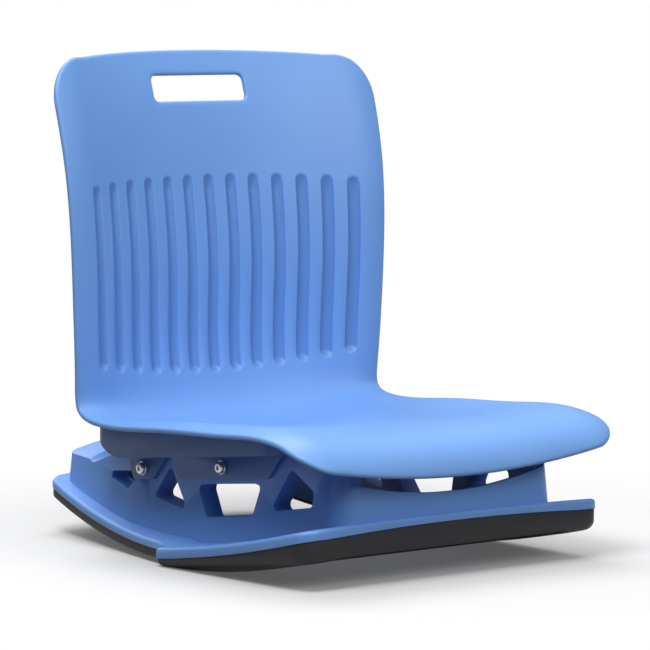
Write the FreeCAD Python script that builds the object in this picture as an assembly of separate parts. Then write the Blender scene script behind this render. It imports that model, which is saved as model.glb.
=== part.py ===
import FreeCAD, Part
import math
import os

os.makedirs("parts", exist_ok=True)
V = FreeCAD.Vector

# The chair faces -Y. Lengths run back from a line across its front, heights up from the floor.
# The finished chair is then centred over the origin.

# Seat shell: centre line as (length, height), from the top of the back to the front lip
BACK_TOP = (468.0, 571.0)
BACK_HAND = (447.0, 507.0)
BACK_UPPER = (431.5, 424.0)
BACK_MIDDLE = (421.0, 307.0)
BACK_LOWER = (417.0, 191.0)
SEAT_BEND = (399.0, 152.0)
SEAT_REAR = (348.0, 135.0)
SEAT_MIDDLE = (230.0, 144.0)
SEAT_FORE = (110.0, 157.0)
SEAT_CREST = (30.0, 161.0)
LIP_TURN = (-22.0, 145.0)
LIP_END = (-40.0, 113.0)

# Seat shell: half width and forward bow of the section at the same places
TOP_HALF, TOP_BOW = 235.0, 52.0
HAND_HALF, HAND_BOW = 235.0, 53.0
UPPER_HALF, UPPER_BOW = 233.0, 57.0
MIDDLE_HALF, MIDDLE_BOW = 229.0, 52.0
LOWER_HALF, LOWER_BOW = 224.0, 45.0
BEND_HALF, BEND_BOW = 223.0, 36.0
REAR_HALF, REAR_BOW = 224.0, 33.0
SEAT_HALF, SEAT_BOW = 226.0, 25.0
FORE_HALF, FORE_BOW = 227.0, 16.0
CREST_HALF, CREST_BOW = 230.0, 13.0
TURN_HALF, TURN_BOW = 229.0, 11.0
LIP_HALF, LIP_BOW = 227.0, 8.0

SHELL_WALL = 7.0
RIM_ROLL = 12.0
RIM_ROLL_START = 0.82
TOP_CROWN = 31.0
TOP_CORNER_R = 50.0
LIP_RISE = 19.0
LIP_CORNER_R = 30.0

FLUTE_PAIRS = 6
FLUTE_STEP = 0.1355
FLUTE_HALF_W, FLUTE_DEPTH = 6.9, 4.6
FLUTE_TOP_Z, FLUTE_TOP_DROP = 417.0, 7.0
FLUTE_LOW_Z, FLUTE_LOW_RISE = 198.0, 15.0

HAND_HOLE_W, HAND_HOLE_H, HAND_HOLE_R = 134.0, 30.0, 7.0
HAND_HOLE_Z = 526.0

# Rocker base: drafted body with thick truss rails
BODY_HALF = 151.0
BODY_REF_Z = 110.0
BODY_DRAFT = 7.0
BODY_FRONT, BODY_REAR = -8.0, 537.0
BODY_TAPER_Y, BODY_TAPER_IN = 372.0, 24.0
BODY_FRONT_R, BODY_TAPER_R, BODY_REAR_R = 25.0, 90.0, 14.0
RAIL_W, RAIL_SKIN = 24.0, 4.0
RAIL_CORNER_R = 3.0
FRONT_WALL, REAR_WALL = 5.0, 6.0
DECK_FRONT, DECK_T = 432.0, 5.0
SCOOP_Y, SCOOP_Z, SCOOP_R = 478.0, 87.0, 14.0
REAR_TOP_Y, REAR_TOP_Z, REAR_CROWN_R = 500.0, 112.0, 480.0
FRONT_DIP_R, FRONT_DIP_Z = 546.0, 93.0

# Truss openings as (length, height) corners
HOLE_TAIL = ((423.0, 85.0), (366.0, 91.0), (368.0, 80.0), (384.0, 67.0), (423.0, 76.0))
HOLE_REAR = ((302.0, 103.0), (329.0, 66.0), (263.0, 55.0))
HOLE_WIDE = ((250.0, 87.0), (135.0, 99.0), (146.0, 63.0), (228.0, 52.0))
HOLE_FRONT = ((85.0, 120.0), (43.0, 99.0), (44.0, 82.0), (117.0, 70.0))
HOLE_TAIL_R, HOLE_REAR_R, HOLE_R = 2.5, 5.0, 6.0

# Flange: outline from above, and arcs seen from the side with their lowest points
FLANGE_HALF, FLANGE_FRONT_Y, FLANGE_FRONT_R = 217.0, -20.0, 24.0
STEP_Y, STEP_R = 250.0, 10.0
STEP_LAP, STEP_RAMP = 20.0, 8.0
TAIL_HALF = 206.0
TAIL_END_HALF, TAIL_END_Y, TAIL_END_R = 152.0, 548.0, 30.0
TAIL_BOW_HALF, TAIL_REAR_Y, TAIL_BOW_R = 70.0, 564.0, 200.0
FLANGE_ARC_R, FLANGE_LOW_Y, FLANGE_LOW_Z, FLANGE_T = 2000.0, 473.0, -3.9, 12.0
TAIL_ARC_R, TAIL_LOW_Y, TAIL_LOW_Z, TAIL_T = 1000.0, 265.0, 17.0, 9.0
ARCH_R, ARCH_TOP_R, ARCH_Z, ARCH_T = 3260.0, 7300.0, 63.0, 9.5
FLANGE_BEAD_R, TAIL_BEAD_R, ARCH_BEAD_R = 5.0, 4.5, 4.0

# Treads: the front tread stands on the floor at the lowest point of its arc
TREAD_ARC_R, TREAD_LOW_Y = 1050.0, 250.0
TREAD_INSET, TREAD_INNER_HALF, TREAD_END_R = 1.0, 150.0, 7.5
RUNNER_INNER_HALF, RUNNER_OUTER_HALF, RUNNER_END_Y = 132.0, 160.0, 350.0
TAIL_TREAD_T, TAIL_TREAD_W = 10.0, 26.0

# Seat carrier: a tray under the shell, on top of the rails, with tabs down their sides
TRAY_HALF, TRAY_FRONT, TRAY_REAR = 188.0, 62.0, 412.0
TRAY_WALL, TRAY_FLOOR = 4.0, 5.0
TRAY_REF_Y, TRAY_REF_Z, TRAY_PITCH = 86.0, 137.0, 5.9
TRAY_REAR_R, TRAY_FRONT_R, TRAY_CORNER_R = 58.0, 8.0, 30.0
TRAY_GAP = 0.3
TAB_GAP, TAB_T = 0.3, 4.0
TAB_DROP, TAB_RISE, TAB_SLANT, TAB_CORNER_R = 27.0, 18.0, 20.0, 4.0
TAB_REAR_FROM, TAB_REAR_TO = 328.0, 364.0
TAB_FRONT_FROM, TAB_FRONT_TO = 119.0, 281.0

# Bolts through the tabs and the rails
BOLT_D, BOLT_CLEAR = 8.0, 0.25
BOLT_HEAD_D, BOLT_CROWN_D, BOLT_HEAD_H = 14.0, 8.4, 4.4
BOLT_SOCKET_AF, BOLT_SOCKET_DEPTH = 5.0, 2.6
BOLT_REAR_Y, BOLT_FRONT_Y, BOLT_DROP = 348.0, 202.0, 14.3
BOLT_BOSS_LAND = 1.5
BOLT_PAD = 0.4
BOLT_TAIL = 3.0
WASHER_D, WASHER_T = 16.0, 1.6
NUT_AF, NUT_H = 13.0, 8.0

# Screws from under the tray into bosses of the shell
SHELL_SCREW_D, SHELL_SCREW_HEAD_D, SHELL_SCREW_HEAD_H = 5.0, 9.5, 3.4
SHELL_SCREW_BITE, SHELL_SCREW_CLEAR = 12.0, 0.3
SHELL_SCREW_X = 92.0
SHELL_SCREW_FRONT_Y, SHELL_SCREW_MIDDLE_Y, SHELL_SCREW_REAR_Y = 110.0, 220.0, 330.0
SHELL_BOSS_D = 15.0
SHELL_WASHER_D, SHELL_WASHER_T = 20.0, 1.5

# Screws from under the treads into the flange
TREAD_SCREW_D, TREAD_SCREW_HEAD_D, TREAD_SCREW_HEAD_H = 4.0, 8.0, 2.8
TREAD_SCREW_GRIP, TREAD_SCREW_BITE = 4.0, 7.0
TREAD_SCREW_CLEAR = 0.2
TREAD_SCREW_X = 190.0
TREAD_SCREW_FRONT_Y, TREAD_SCREW_MIDDLE_Y, TREAD_SCREW_REAR_Y = 50.0, 130.0, 210.0
TAIL_SCREW_IN = 14.0
TAIL_SCREW_FRONT_Y, TAIL_SCREW_MIDDLE_Y, TAIL_SCREW_REAR_Y = 330.0, 430.0, 520.0

# Cutting forms start this far ahead, pass this far through or reach this far
AHEAD, THROUGH, FAR = 100.0, 225.0, 900.0
OUTSIDE_R = 1.0
ROUND_END = 0.999
SAME_PLACE, SAME_HEIGHT = 1e-6, 0.01
ROWS, COLUMNS, HALVINGS = 18, 12, 40
RUN_STEP, ACROSS_STEP = 0.5, 0.002
UNDER_START = 1 / 3
HEX_SIDES = 6


def prism(wire, along):
    return Part.Face(wire).extrude(along)


def rounded_wire(corners, to_point):
    """Closed wire through (a, b, radius) corners, with tangent arcs, placed by to_point(a, b)."""
    edges = []
    ends = []
    count = len(corners)
    for i, (a, b, radius) in enumerate(corners):
        here = V(a, b, 0)
        before = V(corners[i - 1][0], corners[i - 1][1], 0) - here
        after = V(corners[(i + 1) % count][0], corners[(i + 1) % count][1], 0) - here
        before.normalize()
        after.normalize()
        half_turn = before.getAngle(after) / 2
        run = radius / math.tan(half_turn)
        middle = before + after
        middle.normalize()
        belly = here + middle * (radius / math.sin(half_turn) - radius)
        ends.append((here + before * run, belly, here + after * run))
    placed = [[to_point(place.x, place.y) for place in arc] for arc in ends]
    for i, (start, belly, end) in enumerate(placed):
        edges.append(Part.Arc(start, belly, end).toShape())
        following = placed[(i + 1) % count][0]
        if (following - end).Length > SAME_PLACE:
            edges.append(Part.makeLine(end, following))
    return Part.Wire(edges)


def plan(z):
    return lambda x, y: V(x, y, z)


def side(x):
    return lambda y, z: V(x, y, z)


def front(y):
    return lambda x, z: V(x, y, z)


def mirrored(corners):
    """Corners of the right half, front to rear, with their mirror images."""
    return corners + [(-x, y, r) for x, y, r in reversed(corners)]


def arc_height(radius, low_y, low_z, y):
    return low_z + radius - math.sqrt(radius ** 2 - (y - low_y) ** 2)


def arc_and_floor(ends, floor):
    """Closed wire of an arc through three points and straight lines past two points below it."""
    corners = [ends[2], floor[0], floor[1], ends[0]]
    lines = [Part.makeLine(p, q) for p, q in zip(corners, corners[1:])]
    return Part.Wire([Part.Arc(*ends).toShape()] + lines)


def below_arc(radius, low_y, low_z, y_from, y_to, reach=FAR):
    """Everything under an arc that bends along the length of the chair."""
    y_mid = (y_from + y_to) / 2
    ends = [V(-reach, y, arc_height(radius, low_y, low_z, y)) for y in (y_from, y_mid, y_to)]
    floor = [V(-reach, y_to, -FAR), V(-reach, y_from, -FAR)]
    return prism(arc_and_floor(ends, floor), V(2 * reach, 0, 0))


# Seat shell
STATIONS = [
    (BACK_TOP, TOP_HALF, TOP_BOW),
    (BACK_HAND, HAND_HALF, HAND_BOW),
    (BACK_UPPER, UPPER_HALF, UPPER_BOW),
    (BACK_MIDDLE, MIDDLE_HALF, MIDDLE_BOW),
    (BACK_LOWER, LOWER_HALF, LOWER_BOW),
    (SEAT_BEND, BEND_HALF, BEND_BOW),
    (SEAT_REAR, REAR_HALF, REAR_BOW),
    (SEAT_MIDDLE, SEAT_HALF, SEAT_BOW),
    (SEAT_FORE, FORE_HALF, FORE_BOW),
    (SEAT_CREST, CREST_HALF, CREST_BOW),
    (LIP_TURN, TURN_HALF, TURN_BOW),
    (LIP_END, LIP_HALF, LIP_BOW),
]
centre_points = [V(0, place[0], place[1]) for place, half, bow in STATIONS]
runs = [0.0]
for first, second in zip(centre_points, centre_points[1:]):
    runs.append(runs[-1] + (second - first).Length)
SHELL_RUN = runs[-1]
centre_line = Part.BSplineCurve()
centre_line.interpolate(Points=centre_points, Parameters=runs)
section_line = Part.BSplineCurve()
section_line.interpolate(Points=[V(half, bow, 0) for place, half, bow in STATIONS], Parameters=runs)


def shell_skin(run, across):
    """A point of the sitter's side of the shell: run along the centre line, across from -1 to 1."""
    centre = centre_line.value(run)
    tangent = centre_line.tangent(run)[0]
    section = section_line.value(run)
    roll = max(0.0, (abs(across) - RIM_ROLL_START) / (1 - RIM_ROLL_START))
    lift = section.y * across ** 2 - RIM_ROLL * roll ** 2
    return V(section.x * across, centre.y + tangent.z * lift, centre.z - tangent.y * lift)


def shell_normal(run, across):
    low = max(0.0, run - RUN_STEP)
    high = min(SHELL_RUN, run + RUN_STEP)
    along = shell_skin(high, across) - shell_skin(low, across)
    left = max(-1.0, across - ACROSS_STEP)
    right = min(1.0, across + ACROSS_STEP)
    over = shell_skin(run, right) - shell_skin(run, left)
    normal = along.cross(over)
    normal.normalize()
    return normal


def shell_point(run, across, depth):
    return shell_skin(run, across) - shell_normal(run, across) * depth


def run_range(across):
    return TOP_CROWN * across ** 2, SHELL_RUN - LIP_RISE * across ** 2


def shell_surface(depth, first_run=None, last_run=None):
    """Smooth skin at a depth behind the sitter's side."""
    grid = []
    for i in range(ROWS + 1):
        row = []
        for j in range(COLUMNS + 1):
            across = math.sin(math.pi * j / COLUMNS - math.pi / 2)
            start, end = run_range(across)
            if first_run is not None:
                start = first_run
            if last_run is not None:
                end = last_run
            row.append(shell_point(start + (end - start) * i / ROWS, across, depth))
        grid.append(row)
    surface = Part.BSplineSurface()
    surface.interpolate(grid)
    return surface


def surface_edges(surface):
    u0, u1, v0, v1 = surface.bounds()
    curves = [surface.uIso(u0), surface.vIso(v1), surface.uIso(u1), surface.vIso(v0)]
    return [curve.toShape() for curve in curves]


def sheet(depth_front, depth_back):
    near = shell_surface(depth_front)
    back = shell_surface(depth_back)
    rims = [Part.makeRuledSurface(a, b) for a, b in zip(surface_edges(near), surface_edges(back))]
    skin = Part.Shell([near.toShape(), back.toShape()] + rims)
    skin.sewShape()
    body = Part.Solid(skin)
    if body.Volume < 0:
        body.reverse()
    return body


def run_at_height(z, across):
    low, high = runs[1], runs[5]
    for _ in range(HALVINGS):
        middle = (low + high) / 2
        if shell_skin(middle, across).z > z:
            low = middle
        else:
            high = middle
    return low


def flute_prism(index):
    """Round-ended slot along one flute, right through the back."""
    across = index * FLUTE_STEP
    share = (index / FLUTE_PAIRS) ** 2
    top_z = FLUTE_TOP_Z - FLUTE_TOP_DROP * share
    low_z = FLUTE_LOW_Z + FLUTE_LOW_RISE * share
    top = V(shell_skin(run_at_height(top_z, across), across).x, top_z, 0)
    low = V(shell_skin(run_at_height(low_z, across), across).x, low_z, 0)
    along = (top - low).normalize() * FLUTE_HALF_W
    aside = V(along.y, -along.x, 0)
    corners = (top + along + aside, top + along - aside, low - along - aside, low - along + aside)
    rounded = [(corner.x, corner.y, FLUTE_HALF_W * ROUND_END) for corner in corners]
    return prism(rounded_wire(rounded, front(BACK_LOWER[0] - AHEAD)), V(0, THROUGH, 0))


def corner_cutter(across_corner, radius, to_point, along):
    """What a rounded corner takes away; across_corner is the (a, b) centre of the rounding."""
    a, b = across_corner
    sign_a = 1 if a > 0 else -1
    sign_b = 1 if to_point(0, 1).z > to_point(0, 0).z else -1
    reach = radius * 2
    start = to_point(a + sign_a * radius, b)
    belly = to_point(a + sign_a * radius * math.sqrt(0.5), b + sign_b * radius * math.sqrt(0.5))
    end = to_point(a, b + sign_b * radius)
    arc = Part.Arc(start, belly, end).toShape()
    outside = [end, to_point(a, b + sign_b * reach), to_point(a + sign_a * reach, b + sign_b * reach),
               to_point(a + sign_a * reach, b), start]
    lines = [Part.makeLine(p, q) for p, q in zip(outside, outside[1:])]
    return prism(Part.Wire([arc] + lines), along)


# Places on the tray's pitched floor
PITCH = math.radians(TRAY_PITCH)
TRAY_UP = V(0, math.sin(PITCH), math.cos(PITCH))


def tray_under(y):
    """Height of the underside of the tray's floor."""
    return TRAY_REF_Z + (TRAY_REF_Y - y) * math.tan(PITCH)


def shell_screw_places():
    for y in (SHELL_SCREW_FRONT_Y, SHELL_SCREW_MIDDLE_Y, SHELL_SCREW_REAR_Y):
        for x in (-SHELL_SCREW_X, SHELL_SCREW_X):
            yield V(x, y, tray_under(y))


def under_shell(depth):
    """Everything below the seat's skin at a depth."""
    first_run = runs[4] + (runs[5] - runs[4]) * UNDER_START
    return shell_surface(depth, first_run).toShape().extrude(V(0, 0, -THROUGH))


def make_seat_shell():
    flute_floor = shell_surface(FLUTE_DEPTH, runs[1], runs[5]).toShape().extrude(V(0, FAR, 0))
    cutters = [flute_prism(i).cut(flute_floor) for i in range(-FLUTE_PAIRS, FLUTE_PAIRS + 1)]
    top_across = 1 - TOP_CORNER_R / TOP_HALF
    top_z = shell_skin(run_range(top_across)[0], top_across).z
    lip_across = 1 - LIP_CORNER_R / LIP_HALF
    lip_y = shell_skin(run_range(lip_across)[1], lip_across).y
    for sign in (-1, 1):
        corner = (sign * (TOP_HALF - TOP_CORNER_R), top_z - TOP_CORNER_R)
        cutters.append(corner_cutter(corner, TOP_CORNER_R, front(0.0), V(0, FAR, 0)))
        corner = (sign * (LIP_HALF - LIP_CORNER_R), lip_y + LIP_CORNER_R)
        cutters.append(corner_cutter(corner, LIP_CORNER_R, plan(0.0), V(0, 0, BACK_LOWER[1])))
    half_w, half_h = HAND_HOLE_W / 2, HAND_HOLE_H / 2
    low_z, high_z = HAND_HOLE_Z - half_h, HAND_HOLE_Z + half_h
    corners = ((-half_w, low_z), (half_w, low_z), (half_w, high_z), (-half_w, high_z))
    hole = [(x, z, HAND_HOLE_R) for x, z in corners]
    cutters.append(prism(rounded_wire(hole, front(BACK_LOWER[0] - TOP_BOW)), V(0, THROUGH, 0)))
    bosses = []
    bores = []
    for place in shell_screw_places():
        foot = place + TRAY_UP * TRAY_FLOOR
        bosses.append(Part.makeCylinder(SHELL_BOSS_D / 2, THROUGH, foot, TRAY_UP))
        bores.append(Part.makeCylinder(SHELL_SCREW_D / 2, SHELL_SCREW_BITE, foot, TRAY_UP))
    inner = under_shell(SHELL_WALL / 2)
    bosses = [boss.common(inner) for boss in bosses]
    return sheet(0.0, SHELL_WALL).cut(cutters).fuse(bosses).cut(bores)


# Rocker base
LOFT_LOW_Z, LOFT_HIGH_Z = -20.0, 180.0


def body_half(z):
    return BODY_HALF + (BODY_REF_Z - z) * math.tan(math.radians(BODY_DRAFT))


def body_block(side_in, front_in, rear_in, front_r):
    """The drafted body's outer form, moved inwards on its sides, front and rear."""
    wires = []
    for z in (LOFT_LOW_Z, LOFT_HIGH_Z):
        half = body_half(z) - side_in
        corners = [(half, BODY_FRONT + front_in, front_r), (half, BODY_TAPER_Y, BODY_TAPER_R),
                   (half - BODY_TAPER_IN, BODY_REAR - rear_in, BODY_REAR_R)]
        wires.append(rounded_wire(mirrored(corners), plan(z)))
    return Part.makeLoft(wires, True, True)


def below_top(drop):
    """Everything under the top line of the rails and the rear deck, lowered by a drop."""
    corners = [
        (-THROUGH, -FAR, OUTSIDE_R),
        (FAR, -FAR, OUTSIDE_R),
        (FAR, REAR_TOP_Z - drop, OUTSIDE_R),
        (REAR_TOP_Y, REAR_TOP_Z - drop, SCOOP_R / 2),
        (SCOOP_Y, SCOOP_Z - drop, SCOOP_R),
        (DECK_FRONT, tray_under(DECK_FRONT) - drop, SCOOP_R),
        (-THROUGH, tray_under(-THROUGH) - drop, OUTSIDE_R),
    ]
    top = prism(rounded_wire(corners, side(-FAR)), V(2 * FAR, 0, 0))
    crown_axis = V(0, SCOOP_Y, REAR_TOP_Z - REAR_CROWN_R)
    crown = Part.makeCylinder(REAR_CROWN_R - drop, FAR, crown_axis, V(0, 1, 0))
    ahead = Part.makeBox(2 * FAR, FAR + SCOOP_Y, 2 * FAR, V(-FAR, -FAR, -FAR))
    return top.common(crown.fuse(ahead))


def truss_wires(x):
    openings = (HOLE_TAIL, HOLE_REAR, HOLE_WIDE, HOLE_FRONT)
    radii = (HOLE_TAIL_R, HOLE_REAR_R, HOLE_R, HOLE_R)
    for corners, radius in zip(openings, radii):
        yield rounded_wire([(y, z, radius) for y, z in corners], side(x))


def bolt_places():
    """Bolt centres as (sign of the side, length, height)."""
    for y in (BOLT_REAR_Y, BOLT_FRONT_Y):
        for sign in (-1, 1):
            yield sign, y, tray_under(y) - BOLT_DROP


def washer_face(z):
    """Distance from the middle of the chair to the flat pad under a bolt's washer."""
    return body_half(z - WASHER_D / 2) + TAB_GAP + TAB_T + BOLT_PAD


def nut_face(z):
    """Distance from the middle of the chair to the flat pad under a nut."""
    return body_half(z + NUT_AF / 2) - RAIL_W - BOLT_PAD


def bar_across(sign, y, z, diameter, x_from, x_to):
    """Round bar across the chair between two distances from its middle."""
    return Part.makeCylinder(diameter / 2, x_to - x_from, V(sign * x_from, y, z), V(sign, 0, 0))


def flange_front_wire(inset, z):
    half = FLANGE_HALF - inset
    first_y = FLANGE_FRONT_Y + inset
    corners = [(half, first_y, FLANGE_FRONT_R - inset), (half, STEP_Y - inset, STEP_R - inset)]
    return rounded_wire(mirrored(corners), plan(z))


def tail_half(y):
    taper = (TAIL_HALF - TAIL_END_HALF) / (TAIL_END_Y - STEP_Y)
    return TAIL_HALF - taper * (y - STEP_Y)


def flange_tail_wire(inset, start_y, z):
    corners = [
        (tail_half(start_y) - inset, start_y, OUTSIDE_R),
        (TAIL_END_HALF - inset, TAIL_END_Y - inset / 2, TAIL_END_R - inset),
        (TAIL_BOW_HALF, TAIL_REAR_Y - inset, TAIL_BOW_R),
    ]
    return rounded_wire(mirrored(corners), plan(z))


# The front edge falls towards the rear as steeply as the flange starts
ARCH_TO_LOW = FLANGE_LOW_Y - FLANGE_FRONT_Y
ARCH_SLOPE = ARCH_TO_LOW / math.sqrt(FLANGE_ARC_R ** 2 - ARCH_TO_LOW ** 2)


def arch_height(radius, z, x, y):
    return z + math.sqrt(radius ** 2 - x ** 2) - radius - ARCH_SLOPE * (y - FLANGE_FRONT_Y)


def below_arch(radius, z):
    """Everything under the arched front edge, ahead of the back of the front wall."""
    first_y = -FLANGE_HALF
    ends = [V(x, first_y, arch_height(radius, z, x, first_y)) for x in (-FLANGE_HALF, 0.0, FLANGE_HALF)]
    floor = [V(FLANGE_HALF, first_y, -FAR), V(-FLANGE_HALF, first_y, -FAR)]
    depth = BODY_FRONT + FRONT_WALL - first_y
    return prism(arc_and_floor(ends, floor), V(0, depth, -ARCH_SLOPE * depth))


def below_ramp():
    """Everything under the short slope from the front flange up to the tail."""
    first_y, last_y = STEP_Y - STEP_LAP, STEP_Y + STEP_RAMP
    first_z = arc_height(FLANGE_ARC_R, FLANGE_LOW_Y, FLANGE_LOW_Z + FLANGE_T, first_y)
    last_z = arc_height(TAIL_ARC_R, TAIL_LOW_Y, TAIL_LOW_Z + TAIL_T, last_y)
    places = [(first_y, first_z), (first_y, -FAR), (FAR, -FAR), (FAR, FAR), (last_y, FAR), (last_y, last_z)]
    points = [V(-FAR, y, z) for y, z in places]
    return prism(Part.makePolygon(points + points[:1]), V(2 * FAR, 0, 0))


def below_flange(raise_z, end_y=STEP_Y):
    return below_arc(FLANGE_ARC_R, FLANGE_LOW_Y, FLANGE_LOW_Z + raise_z, -FLANGE_HALF, end_y)


def below_tail(raise_z, start_y=STEP_Y):
    return below_arc(TAIL_ARC_R, TAIL_LOW_Y, TAIL_LOW_Z + raise_z, start_y, FAR)


def beaded(shape, radius, top_height, first_y, last_y):
    """A flange with its upper outer edges rounded, between two lengths."""
    edges = []
    for edge in shape.Edges:
        middle = edge.valueAt((edge.FirstParameter + edge.LastParameter) / 2)
        if first_y < middle.y < last_y and abs(middle.z - top_height(middle)) < SAME_HEIGHT:
            edges.append(edge)
    return shape.makeFillet(radius, edges)


def make_flange():
    """The front flange, the tail and the arched strip, with their rounded edges."""
    outline = prism(flange_front_wire(0.0, 0.0), V(0, 0, FAR))
    flange = beaded(
        outline.common(below_flange(FLANGE_T, FAR)), FLANGE_BEAD_R,
        lambda place: arc_height(FLANGE_ARC_R, FLANGE_LOW_Y, FLANGE_LOW_Z + FLANGE_T, place.y), -FAR, FAR)
    strip = beaded(
        outline.common(below_arch(ARCH_TOP_R, ARCH_Z + ARCH_T)), ARCH_BEAD_R,
        lambda place: arch_height(ARCH_TOP_R, ARCH_Z + ARCH_T, place.x, place.y), -FAR, BODY_FRONT)
    tail_start = STEP_Y - STEP_LAP
    tail = prism(flange_tail_wire(0.0, tail_start, 0.0), V(0, 0, FAR))
    tail = beaded(
        tail.common(below_tail(TAIL_T, tail_start)), TAIL_BEAD_R,
        lambda place: arc_height(TAIL_ARC_R, TAIL_LOW_Y, TAIL_LOW_Z + TAIL_T, place.y), STEP_Y, FAR)
    return flange.fuse([tail.common(below_ramp()), strip])


def make_rocker_base():
    rails = body_block(0.0, 0.0, 0.0, BODY_FRONT_R)
    hollow = body_block(RAIL_W, FRONT_WALL, REAR_WALL, RAIL_CORNER_R)
    deck_band = below_top(0.0).cut(below_top(DECK_T))
    deck_box = Part.makeBox(2 * FAR, FAR, FAR, V(-FAR, DECK_FRONT, 0))
    deck = hollow.common(deck_band).common(deck_box)
    body = rails.cut(hollow).common(below_top(0.0)).fuse(deck)

    core = body_block(RAIL_SKIN, FRONT_WALL, REAR_WALL, BODY_FRONT_R - FRONT_WALL)
    core = core.cut(body_block(RAIL_W - RAIL_SKIN, -AHEAD, -AHEAD, RAIL_CORNER_R))
    core = core.common(below_top(RAIL_SKIN))
    sleeves = [prism(wire.makeOffset2D(RAIL_SKIN), V(2 * FAR, 0, 0)) for wire in truss_wires(-FAR)]
    boss_d = WASHER_D + 2 * BOLT_BOSS_LAND
    bosses = [bar_across(sign, y, z, boss_d, nut_face(z), body_half(z) - RAIL_SKIN / 2)
              for sign, y, z in bolt_places()]
    body = body.cut(core.cut(sleeves)).fuse(bosses)

    within = body_block(RAIL_SKIN / 2, FRONT_WALL / 2, REAR_WALL / 2, BODY_FRONT_R)
    body = body.fuse(make_flange().cut(within))

    body = body.cut([below_flange(0.0), below_tail(0.0), below_arch(ARCH_R, ARCH_Z)])
    holes = [prism(wire, V(2 * FAR, 0, 0)) for wire in truss_wires(-FAR)]
    dip_axis = V(0, BODY_FRONT - FRONT_WALL, FRONT_DIP_Z + FRONT_DIP_R)
    dip = Part.makeCylinder(FRONT_DIP_R, 2 * FRONT_WALL, dip_axis, V(0, 1, 0))
    bores = [bar_across(sign, y, z, BOLT_D + 2 * BOLT_CLEAR, 0.0, FAR) for sign, y, z in bolt_places()]
    threads = [Part.makeCylinder(TREAD_SCREW_D / 2, TREAD_SCREW_BITE, place)
               for place in list(front_screw_places()) + list(tail_screw_places())]
    return body.cut(holes + [dip] + bores + threads)


def tread_ends():
    """What the rounded ends of the side treads lose, outside the runners."""
    end_y = STEP_Y - TREAD_INSET
    low_z = arc_height(TREAD_ARC_R, TREAD_LOW_Y, 0.0, end_y)
    centre = V(0, end_y - TREAD_END_R, low_z + TREAD_END_R)
    width = FLANGE_HALF - RUNNER_OUTER_HALF
    ends = []
    for x in (-FLANGE_HALF, RUNNER_OUTER_HALF):
        corner = Part.makeBox(width, 2 * TREAD_END_R, TREAD_END_R + low_z, V(x, centre.y, 0))
        ends.append(corner.cut(Part.makeCylinder(TREAD_END_R, width, V(x, centre.y, centre.z), V(1, 0, 0))))
    return ends


def make_front_tread():
    depth = BODY_FRONT + FRONT_WALL
    outline = prism(flange_front_wire(TREAD_INSET, 0.0), V(0, 0, FAR))
    middle = Part.makeBox(2 * TREAD_INNER_HALF, FAR, FAR, V(-TREAD_INNER_HALF, depth, 0))
    band = outline.cut(middle)
    tread = band.common(below_flange(0.0)).fuse(band.common(below_arch(ARCH_R, ARCH_Z)))
    width = RUNNER_OUTER_HALF - RUNNER_INNER_HALF
    start_y = STEP_Y - width
    for x in (-RUNNER_OUTER_HALF, RUNNER_INNER_HALF):
        runner = Part.makeBox(width, RUNNER_END_Y - start_y, FAR, V(x, start_y, 0))
        tread = tread.fuse([runner.common(below_flange(0.0)), runner.common(below_tail(0.0))])
    tread = tread.cut(below_arc(TREAD_ARC_R, TREAD_LOW_Y, 0.0, -THROUGH, FAR))
    return tread.cut(tread_ends() + list(tread_screw_holes(front_screw_places()))).removeSplitter()


def make_rear_tread():
    outline = prism(flange_tail_wire(TREAD_INSET, STEP_Y + TREAD_INSET, 0.0), V(0, 0, FAR))
    middle = prism(flange_tail_wire(TAIL_TREAD_W, STEP_Y - TAIL_TREAD_W, 0.0), V(0, 0, FAR))
    tread = outline.cut(middle).common(below_tail(0.0)).cut(below_tail(-TAIL_TREAD_T))
    return tread.cut(list(tread_screw_holes(tail_screw_places())))


# Seat carrier
def tray_block(side_in, floor_up, wall_in):
    """The tray's outer form, moved inwards."""
    half = TRAY_HALF - side_in
    first, last = TRAY_FRONT + wall_in, TRAY_REAR - wall_in
    corners = [
        (first, tray_under(first) + floor_up, TRAY_FRONT_R),
        (last, tray_under(last) + floor_up, TRAY_REAR_R - wall_in),
        (last, FAR, OUTSIDE_R),
        (first, FAR, OUTSIDE_R),
    ]
    profile = prism(rounded_wire(corners, side(-half)), V(2 * half, 0, 0))
    radius = TRAY_CORNER_R - wall_in
    outline = rounded_wire(mirrored([(half, first, radius), (half, last, radius)]), plan(0.0))
    return profile.common(prism(outline, V(0, 0, FAR)))


def tab_prism(first, last):
    corners = [
        (first, tray_under(first) - TAB_DROP, TAB_CORNER_R),
        (last, tray_under(last) - TAB_DROP, TAB_CORNER_R),
        (last + TAB_SLANT, tray_under(last), OUTSIDE_R),
        (last + TAB_SLANT, tray_under(last) + TAB_RISE, OUTSIDE_R),
        (first - TAB_SLANT, tray_under(first) + TAB_RISE, OUTSIDE_R),
        (first - TAB_SLANT, tray_under(first), OUTSIDE_R),
    ]
    return prism(rounded_wire(corners, side(-TRAY_HALF)), V(2 * TRAY_HALF, 0, 0))


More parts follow.
